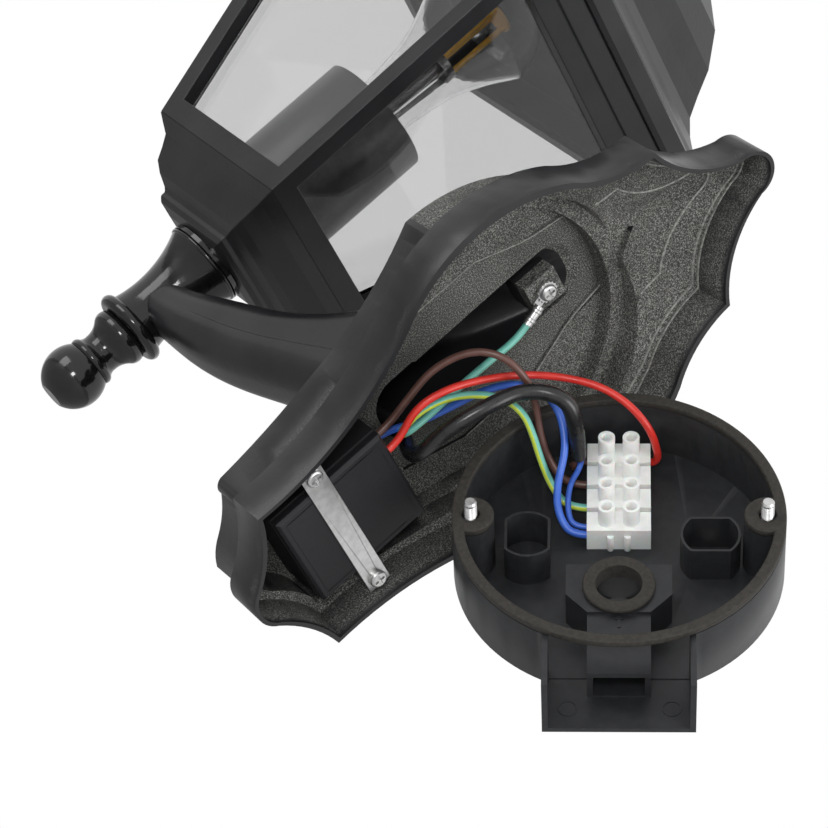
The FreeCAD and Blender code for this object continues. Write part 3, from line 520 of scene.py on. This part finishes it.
# Leads from the module to the terminal strip
cord("red_lead", [
    lamp(10, -7, MODULE_TOP_Z),
    lamp(10, -7, -39.5),
    lamp(18.5, -4, -31),
    lamp(18, -1.5, -19.5),
    lamp(10, -1, -6.8),
    lamp(1.5, -0.5, 3.5),
    box(-17.5, 48, 33),
    box(-6.5, 45.5, 32),
    box(1.5, 42, 29),
    box(7.2, 38, 25),
    box(10.4, 36.4, 19),
    box(11.6, 36.4, 13),
    box(12.1, 36.9, 8.4),
    box(10.7, POLES_Y[0], WIRE_Z),
    box(CLAMP_X, POLES_Y[0], WIRE_Z),
], diameter_mm=LEAD_D, material=RED)
cord("brown_lead", [
    lamp(9, -16, MODULE_TOP_Z),
    lamp(9, -16, -38),
    lamp(13, -14.5, -29.5),
    lamp(17.5, -13, -17.5),
    lamp(18.5, -7, -6),
    lamp(15, 0.5, 0),
    lamp(6, 6, 1.3),
    box(-25, 38.5, 29.5),
    box(-24, 34.5, 21),
    box(-21, 31, 12),
    box(-15.5, POLES_Y[1], WIRE_Z),
    box(-CLAMP_X, POLES_Y[1], WIRE_Z),
], diameter_mm=LEAD_D, material=BROWN)
BLUE_LEAD_Y = POLES_Y[3] - 1.5
cord("blue_lead", [
    lamp(4, -20.5, MODULE_TOP_Z),
    lamp(4, -20.5, -39),
    lamp(-5, -22, -26.8),
    lamp(-4, -17, -17.7),
    lamp(-1.5, -11, -8.6),
    lamp(-0.5, -4, -1),
    box(-24, 45, 31),
    box(-18.5, 40, 27.5),
    box(-16.6, 34.5, 23.5),
    box(-16.4, 29, 19),
    box(-18.4, 22.5, 14.5),
    box(-18.9, 16, 11.8),
    box(-17.6, 11, 9),
    box(-14.2, BLUE_LEAD_Y, WIRE_Z),
    box(-CLAMP_X, BLUE_LEAD_Y, WIRE_Z),
], diameter_mm=LEAD_D, material=BLUE)

# Earth lead from the barrel of the ring terminal to the terminal strip
BARREL_AXIS = Vector((-math.sin(BARREL_LEAN), 0, -math.cos(BARREL_LEAN)))
BARREL_MOUTH = BARREL_AT + BARREL_AXIS * BARREL_LENGTH
cord("earth_lead", [
    BARREL_MOUTH * MM,
    (BARREL_MOUTH + BARREL_AXIS * BARREL_LEAD) * MM,
    lamp(-4.5, -21, 4),
    lamp(-3, -20, -9),
    lamp(-0.5, -17, -24.5),
    lamp(1.5, -15.5, -35),
    lamp(10, -9.5, -37.5),
    lamp(14.5, -6, -28),
    lamp(10, -4.5, -16.6),
    box(-36, 40.5, 32.5),
    box(-29, 36.5, 29.5),
    box(-26, 32.5, 23.5),
    box(-24, 29, 17),
    box(-20.5, 24, 9.5),
    box(-15.5, POLES_Y[2], WIRE_Z),
    box(-CLAMP_X, POLES_Y[2], WIRE_Z),
], diameter_mm=LEAD_D, material=EARTH)

# Plate outline from the top tip down one side: x, z and how far the edge bows outwards
PLATE_EDGE = ((0, 108, 0), (8.2, 99.8, 2.4), (36, 73.5, -4.6), (48.7, 46, -3.0), (50, -22, 11.7))
EDGE_POINTS = 12
INSET_Z_SHARE = 0.55
ARCH_CLEAR = 55.6


def terrace_line(inset, level, side):
    """Points along a terrace inside the plate, from its tip down to the arched pocket."""
    line = []
    for (x0, z0, _), (x1, z1, bow) in zip(PLATE_EDGE, PLATE_EDGE[1:]):
        run = Vector((x1 - x0, z1 - z0))
        out = Vector((-run.y, run.x)).normalized()
        for n in range(EDGE_POINTS):
            t = n / EDGE_POINTS
            # The bow is a parabola, full halfway along the run
            spot = Vector((x0, z0)) + run * t + out * bow * 4 * t * (1 - t)
            spot.x *= 1 - inset / PLATE_HALF
            spot.y *= 1 - inset * INSET_Z_SHARE / PLATE_TIP
            if math.hypot(spot.x, spot.y - ARCH_Z) < ARCH_CLEAR:
                return line
            line.append(lamp(side * spot.x, level, spot.y))
    return line


# Crests of the terraces inside the plate, pale to paint their highlight along with rubbed paint: how far in
# from the edge, and their level
CREST_ROUNDNESS = 2
TERRACES = ((5.8, -11.8), (8.2, -13.0), (27.0, -15.6))
TERRACE_CREST_R = 0.4
terrace_lines = [terrace_line(inset, level, side) for inset, level in TERRACES for side in SIDES]
tubes("terrace_crests", "POLY", terrace_lines, TERRACE_CREST_R, CREST_ROUNDNESS, CREST_WEAR_AND_HIGHLIGHT)
# Edges of the leaf sunk round the arm's mouth, pale crests that paint their highlight: x and z
LEAF = ((16.5, 48), (17.5, 42), (18.6, 36), (20, 31), (26.7, 15), (27, -15))
LEAF_LEVEL = -26.0
LEAF_CREST_R = 0.25
leaf_lines = [[lamp(side * x, LEAF_LEVEL, z) for x, z in LEAF] for side in SIDES]
tubes("leaf_crests", "POLY", leaf_lines, LEAF_CREST_R, CREST_ROUNDNESS, CREST_WEAR_AND_HIGHLIGHT)

MERGE_MM = 0.0005
SHARP_TURN = math.radians(35)
ROUND_STEPS = 40


def piece(name, shape, place, material):
    """Makes a piece from a shape drawn in millimetres, set at its place in the lamp."""
    bmesh.ops.remove_doubles(shape, verts=shape.verts, dist=MERGE_MM)
    bmesh.ops.recalc_face_normals(shape, faces=shape.faces)
    bmesh.ops.transform(shape, matrix=place, verts=shape.verts)
    for face in shape.faces:
        face.smooth = True
    mesh = bpy.data.meshes.new(name)
    shape.to_mesh(mesh)
    shape.free()
    mesh.set_sharp_from_angle(angle=SHARP_TURN)
    mesh.materials.append(material)
    made = bpy.data.objects.new(name, mesh)
    put(made)
    return made


def turned(shape, profile, at):
    """Adds a solid of revolution about an upright axis through a point; the profile is radius, height."""
    line = [shape.verts.new((at[0] + r, at[1], at[2] + z)) for r, z in profile]
    edges = [shape.edges.new(pair) for pair in zip(line, line[1:])]
    bmesh.ops.spin(
        shape, geom=line + edges, cent=at, axis=(0, 0, 1), angle=2 * math.pi, steps=ROUND_STEPS,
        use_merge=True,
    )


# Threaded studs in the lugs of the box
THREAD_PITCH = 0.7
THREAD_DEPTH = 0.36
THREAD_START = 0.3
STUD_PLAIN = 1.0
STUD_TIP = 0.6
STUD_CHAMFER = 0.5
stud_profile = [(0, STUD_LOW), (STUD_R, STUD_LOW)]
for n in range(int((STUD_TOP - STUD_LOW - STUD_PLAIN) / THREAD_PITCH)):
    z = STUD_LOW + THREAD_START + n * THREAD_PITCH
    stud_profile += [(STUD_R, z), (STUD_R - THREAD_DEPTH, z + THREAD_PITCH / 2)]
stud_profile += [(STUD_R, STUD_TOP - STUD_TIP), (STUD_R - STUD_CHAMFER, STUD_TOP), (0, STUD_TOP)]
shape = bmesh.new()
for side in SIDES:
    turned(shape, stud_profile, (side * LUG_X, 0, 0))
studs = piece("threaded_studs", shape, BOX_MM, ZINC)
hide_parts("box_studs")

# Pin marks that the mould leaves on the floors of spout and box: x, y, level and radius
PIN_MARKS = (
    (-15.0, -56.5, SPOUT_FLOOR, 2.9),
    (15.5, -56.5, SPOUT_FLOOR, 2.9),
    (-24.0, -27.0, BOX_FLOOR, 2.4),
    (24.0, -27.0, BOX_FLOOR, 2.4),
)
PIN_HEIGHT = 0.2
PIN_WIDTH = 0.4
shape = bmesh.new()
for x, y, level, outer in PIN_MARKS:
    inner = outer - PIN_WIDTH
    ring = [(outer, 0), (outer, PIN_HEIGHT), (inner, PIN_HEIGHT), (inner, 0), (outer, 0)]
    turned(shape, ring, (x, y, level))
piece("mould_pin_marks", shape, BOX_MM, ABS)

# Plain raised arrow on the neck of the duct
ARROW_HEAD_Y = -32.2
ARROW_HEAD_R = 1.5
ARROW_STEM_Y = -34.4
ARROW_STEM_SIZE = (0.8, 3.2)
ARROW_T = 0.7
arrow_head_at = Matrix.Translation((0, ARROW_HEAD_Y, NECK_TOP))
arrow_stem_at = Matrix.Translation((0, ARROW_STEM_Y, NECK_TOP))
arrow_stem_size = Matrix.Diagonal((*ARROW_STEM_SIZE, ARROW_T, 1))
shape = bmesh.new()
bmesh.ops.create_cone(
    shape, cap_ends=True, segments=3, radius1=ARROW_HEAD_R, radius2=ARROW_HEAD_R, depth=ARROW_T,
    matrix=arrow_head_at,
)
bmesh.ops.create_cube(shape, size=1, matrix=arrow_stem_at @ arrow_stem_size)
piece("moulded_arrow", shape, BOX_MM, ABS)

# Line of the lid on the control module
LID_MARGIN = 2.4
LID_LINE_WIDTH = 0.5
LID_LINE_T = 0.25
lid_z = (MODULE_TOP_Z + MODULE_LOW_Z) / 2
lid_half_z = (MODULE_TOP_Z - MODULE_LOW_Z) / 2 - LID_MARGIN
lid_size = Matrix.Diagonal((MODULE_HALF_X - LID_MARGIN, lid_half_z, 1, 1))
shape = bmesh.new()
bmesh.ops.create_grid(shape, x_segments=1, y_segments=1, size=1, matrix=lid_size)
inset = bmesh.ops.inset_region(shape, faces=shape.faces[:], thickness=LID_LINE_WIDTH, use_boundary=True)
inner_faces = [face for face in shape.faces if face not in inset["faces"]]
bmesh.ops.delete(shape, geom=inner_faces, context="FACES")
bmesh.ops.solidify(shape, geom=shape.faces[:], thickness=LID_LINE_T)
lid_place = LAMP_MM @ Matrix.Translation((0, MODULE_Y, lid_z)) @ TO_WALL
piece("module_lid_line", shape, lid_place, MODULE)

# Toothed washer under the head of the earth screw
WASHER_R = 4.1
WASHER_TOP_R = 3.8
WASHER_T = 0.5
WASHER_CORNERS = 32
TOOTH_CORNERS = 4
TOOTH_ROOT = 0.86
shape = bmesh.new()
bmesh.ops.create_cone(
    shape, cap_ends=True, segments=WASHER_CORNERS, radius1=WASHER_R, radius2=WASHER_TOP_R, depth=WASHER_T
)
shape.verts.index_update()
for corner in shape.verts:
    if corner.index % TOOTH_CORNERS < TOOTH_CORNERS / 2:
        corner.co.xy *= TOOTH_ROOT
washer_at = EARTH_AT + Vector((0, RING_T + WASHER_T / 2, 0))
washer_place = LAMP_MM @ Matrix.Translation(washer_at) @ TO_WALL
piece("toothed_washer", shape, washer_place, ZINC)

# Two crimps on the barrel of the ring terminal: radius and height of their section
CRIMP_SECTION = ((1.6, 0), (2.0, 0.3), (2.0, 1.1), (1.6, 1.4), (1.6, 0))
CRIMPS_AT = (6.0, 9.4)
shape = bmesh.new()
for start in CRIMPS_AT:
    turned(shape, [(r, start + z) for r, z in CRIMP_SECTION], (0, 0, 0))
barrel_turn = BARREL_AXIS.to_track_quat("Z", "Y").to_matrix().to_4x4()
crimp_place = LAMP_MM @ Matrix.Translation(BARREL_AT) @ barrel_turn
piece("terminal_crimps", shape, crimp_place, ZINC)

# Camera
camera_data = bpy.data.cameras.new("camera")
camera_data.sensor_width = SENSOR_MM
camera_data.lens = SENSOR_MM * FOCAL_PIXELS / IMAGE_PIXELS
camera_data.clip_start = CLIP_START
camera = bpy.data.objects.new("camera", camera_data)
scene.collection.objects.link(camera)
camera_turn = Matrix((CAMERA_RIGHT, CAMERA_UP, CAMERA_BACK)).transposed().to_4x4()
camera.matrix_world = Matrix.Translation(CAMERA_AT) @ camera_turn
scene.camera = camera

# Floor
floor_at = Matrix.Translation((0, 0, FLOOR_Z))
floor_mesh = bpy.data.meshes.new("floor")
floor_shape = bmesh.new()
bmesh.ops.create_grid(floor_shape, x_segments=1, y_segments=1, size=FLOOR_HALF, matrix=floor_at)
floor_shape.to_mesh(floor_mesh)
floor_shape.free()
floor_mesh.materials.append(pale_floor())
floor = bpy.data.objects.new("floor", floor_mesh)
scene.collection.objects.link(floor)

# World: white where it is seen, mirrored or seen through, softer where it lights the lamp
world = bpy.data.worlds.new("studio")
scene.world = world
world.use_nodes = True
sky = world.node_tree
sky.nodes.clear()
rays = add(sky, "ShaderNodeLightPath").outputs
seen = maths(sky, "MAXIMUM", rays["Is Camera Ray"], rays["Is Transmission Ray"])
seen = maths(sky, "MAXIMUM", seen, rays["Is Glossy Ray"])
fill = add(sky, "ShaderNodeBackground", Color=linear("#ffffff"), Strength=FILL_STRENGTH)
white = add(sky, "ShaderNodeBackground", Color=linear("#ffffff"), Strength=WHITE_STRENGTH)
mixed = add(sky, "ShaderNodeMixShader", i0=seen, i1=fill.outputs[0], i2=white.outputs[0])
add(sky, "ShaderNodeOutputWorld", Surface=mixed.outputs[0])

# Square studio lamps, turned towards the aim
for name, (right, up, back, width, power) in LAMPS.items():
    light = bpy.data.lights.new(name, "AREA")
    light.size = width
    light.energy = power
    softbox = bpy.data.objects.new(name, light)
    scene.collection.objects.link(softbox)
    offset = CAMERA_RIGHT * right + CAMERA_UP * up + CAMERA_BACK * back
    turn = offset.to_track_quat("Z", "Y").to_matrix().to_4x4()
    softbox.matrix_world = Matrix.Translation(AIM + offset) @ turn

scene.view_settings.view_transform = "Standard"
